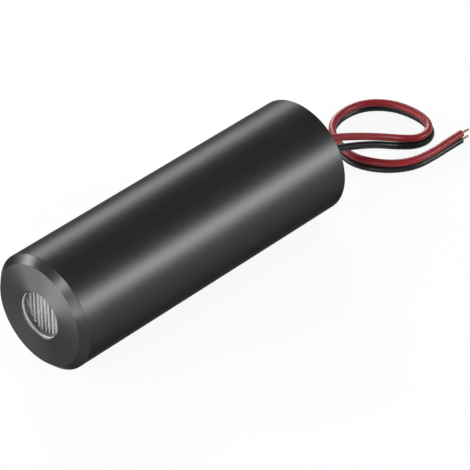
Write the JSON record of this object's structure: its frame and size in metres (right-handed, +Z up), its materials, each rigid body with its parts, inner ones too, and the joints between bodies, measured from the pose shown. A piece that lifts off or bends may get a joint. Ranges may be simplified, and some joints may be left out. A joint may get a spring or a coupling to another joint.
{
  "type": "laser diode module",
  "caption": "Cylindrical black laser module with a ribbed line lens in its front aperture, a collimated laser diode and driver board inside, and a pair of stripped supply leads.",
  "frame": {"origin": "on the optical axis, at the middle of the housing's length", "axes": "+Y along the optical axis from the aperture to the leads, so the beam leaves towards -Y; +Z up; the surface that it lies on is one housing radius below the origin"},
  "size_m": [0.0219, 0.0928, 0.02],
  "materials": {
    "anodised_black": "satin black anodised",
    "clear_acrylic": "clear moulded acrylic, ribbed",
    "lens_glass": "clear polished",
    "black_rubber": "matte",
    "brass": "turned",
    "spring_steel": "drawn wire",
    "gold_plate": "gold plated",
    "nickel_plate": "nickel plated",
    "copper": "bright copper",
    "seal_glass": "fused glass",
    "semiconductor": "polished die",
    "board_green": "glass-filled epoxy with solder mask",
    "chip_black": "moulded epoxy",
    "resistor_ceramic": "glazed top",
    "capacitor_ceramic": "fired",
    "tantalum_yellow": "moulded epoxy",
    "tin": "tinned",
    "sleeve_film": "polyester film",
    "cap_black": "moulded, fine matte",
    "adhesive": "set hot-melt",
    "red_insulation": "extruded vinyl, satin",
    "black_insulation": "extruded vinyl, satin"
  },
  "bodies": {
    "root": {"housing": "anodised_black", "line_lens": "clear_acrylic", "lens_gasket": "black_rubber", "optics_barrel": "brass", "collimator_cell": "brass", "collimator_lens": "lens_glass", "collimator_ring": "brass", "focus_spring": "spring_steel", "diode_stem": "gold_plate", "pin_glass_seals": "seal_glass", "diode_pins": "gold_plate", "diode_cap": "nickel_plate", "diode_window": "lens_glass", "diode_heat_sink": "copper", "laser_chip": "semiconductor", "monitor_photodiode": "semiconductor", "driver_board": "board_green", "driver_chip": "chip_black", "driver_chip_legs": "tin", "chip_resistors": "resistor_ceramic", "ceramic_capacitors": "capacitor_ceramic", "tantalum_capacitor": "tantalum_yellow", "polarity_diode": "chip_black", "component_terminals": "tin", "pin_solder": "tin", "lead_solder": "tin", "board_sleeve": "sleeve_film", "rear_cap": "cap_black", "lead_anchor": "adhesive", "red_lead": "red_insulation", "black_lead": "black_insulation", "red_conductor": "tin", "black_conductor": "tin"}
  },
  "joints": []
}
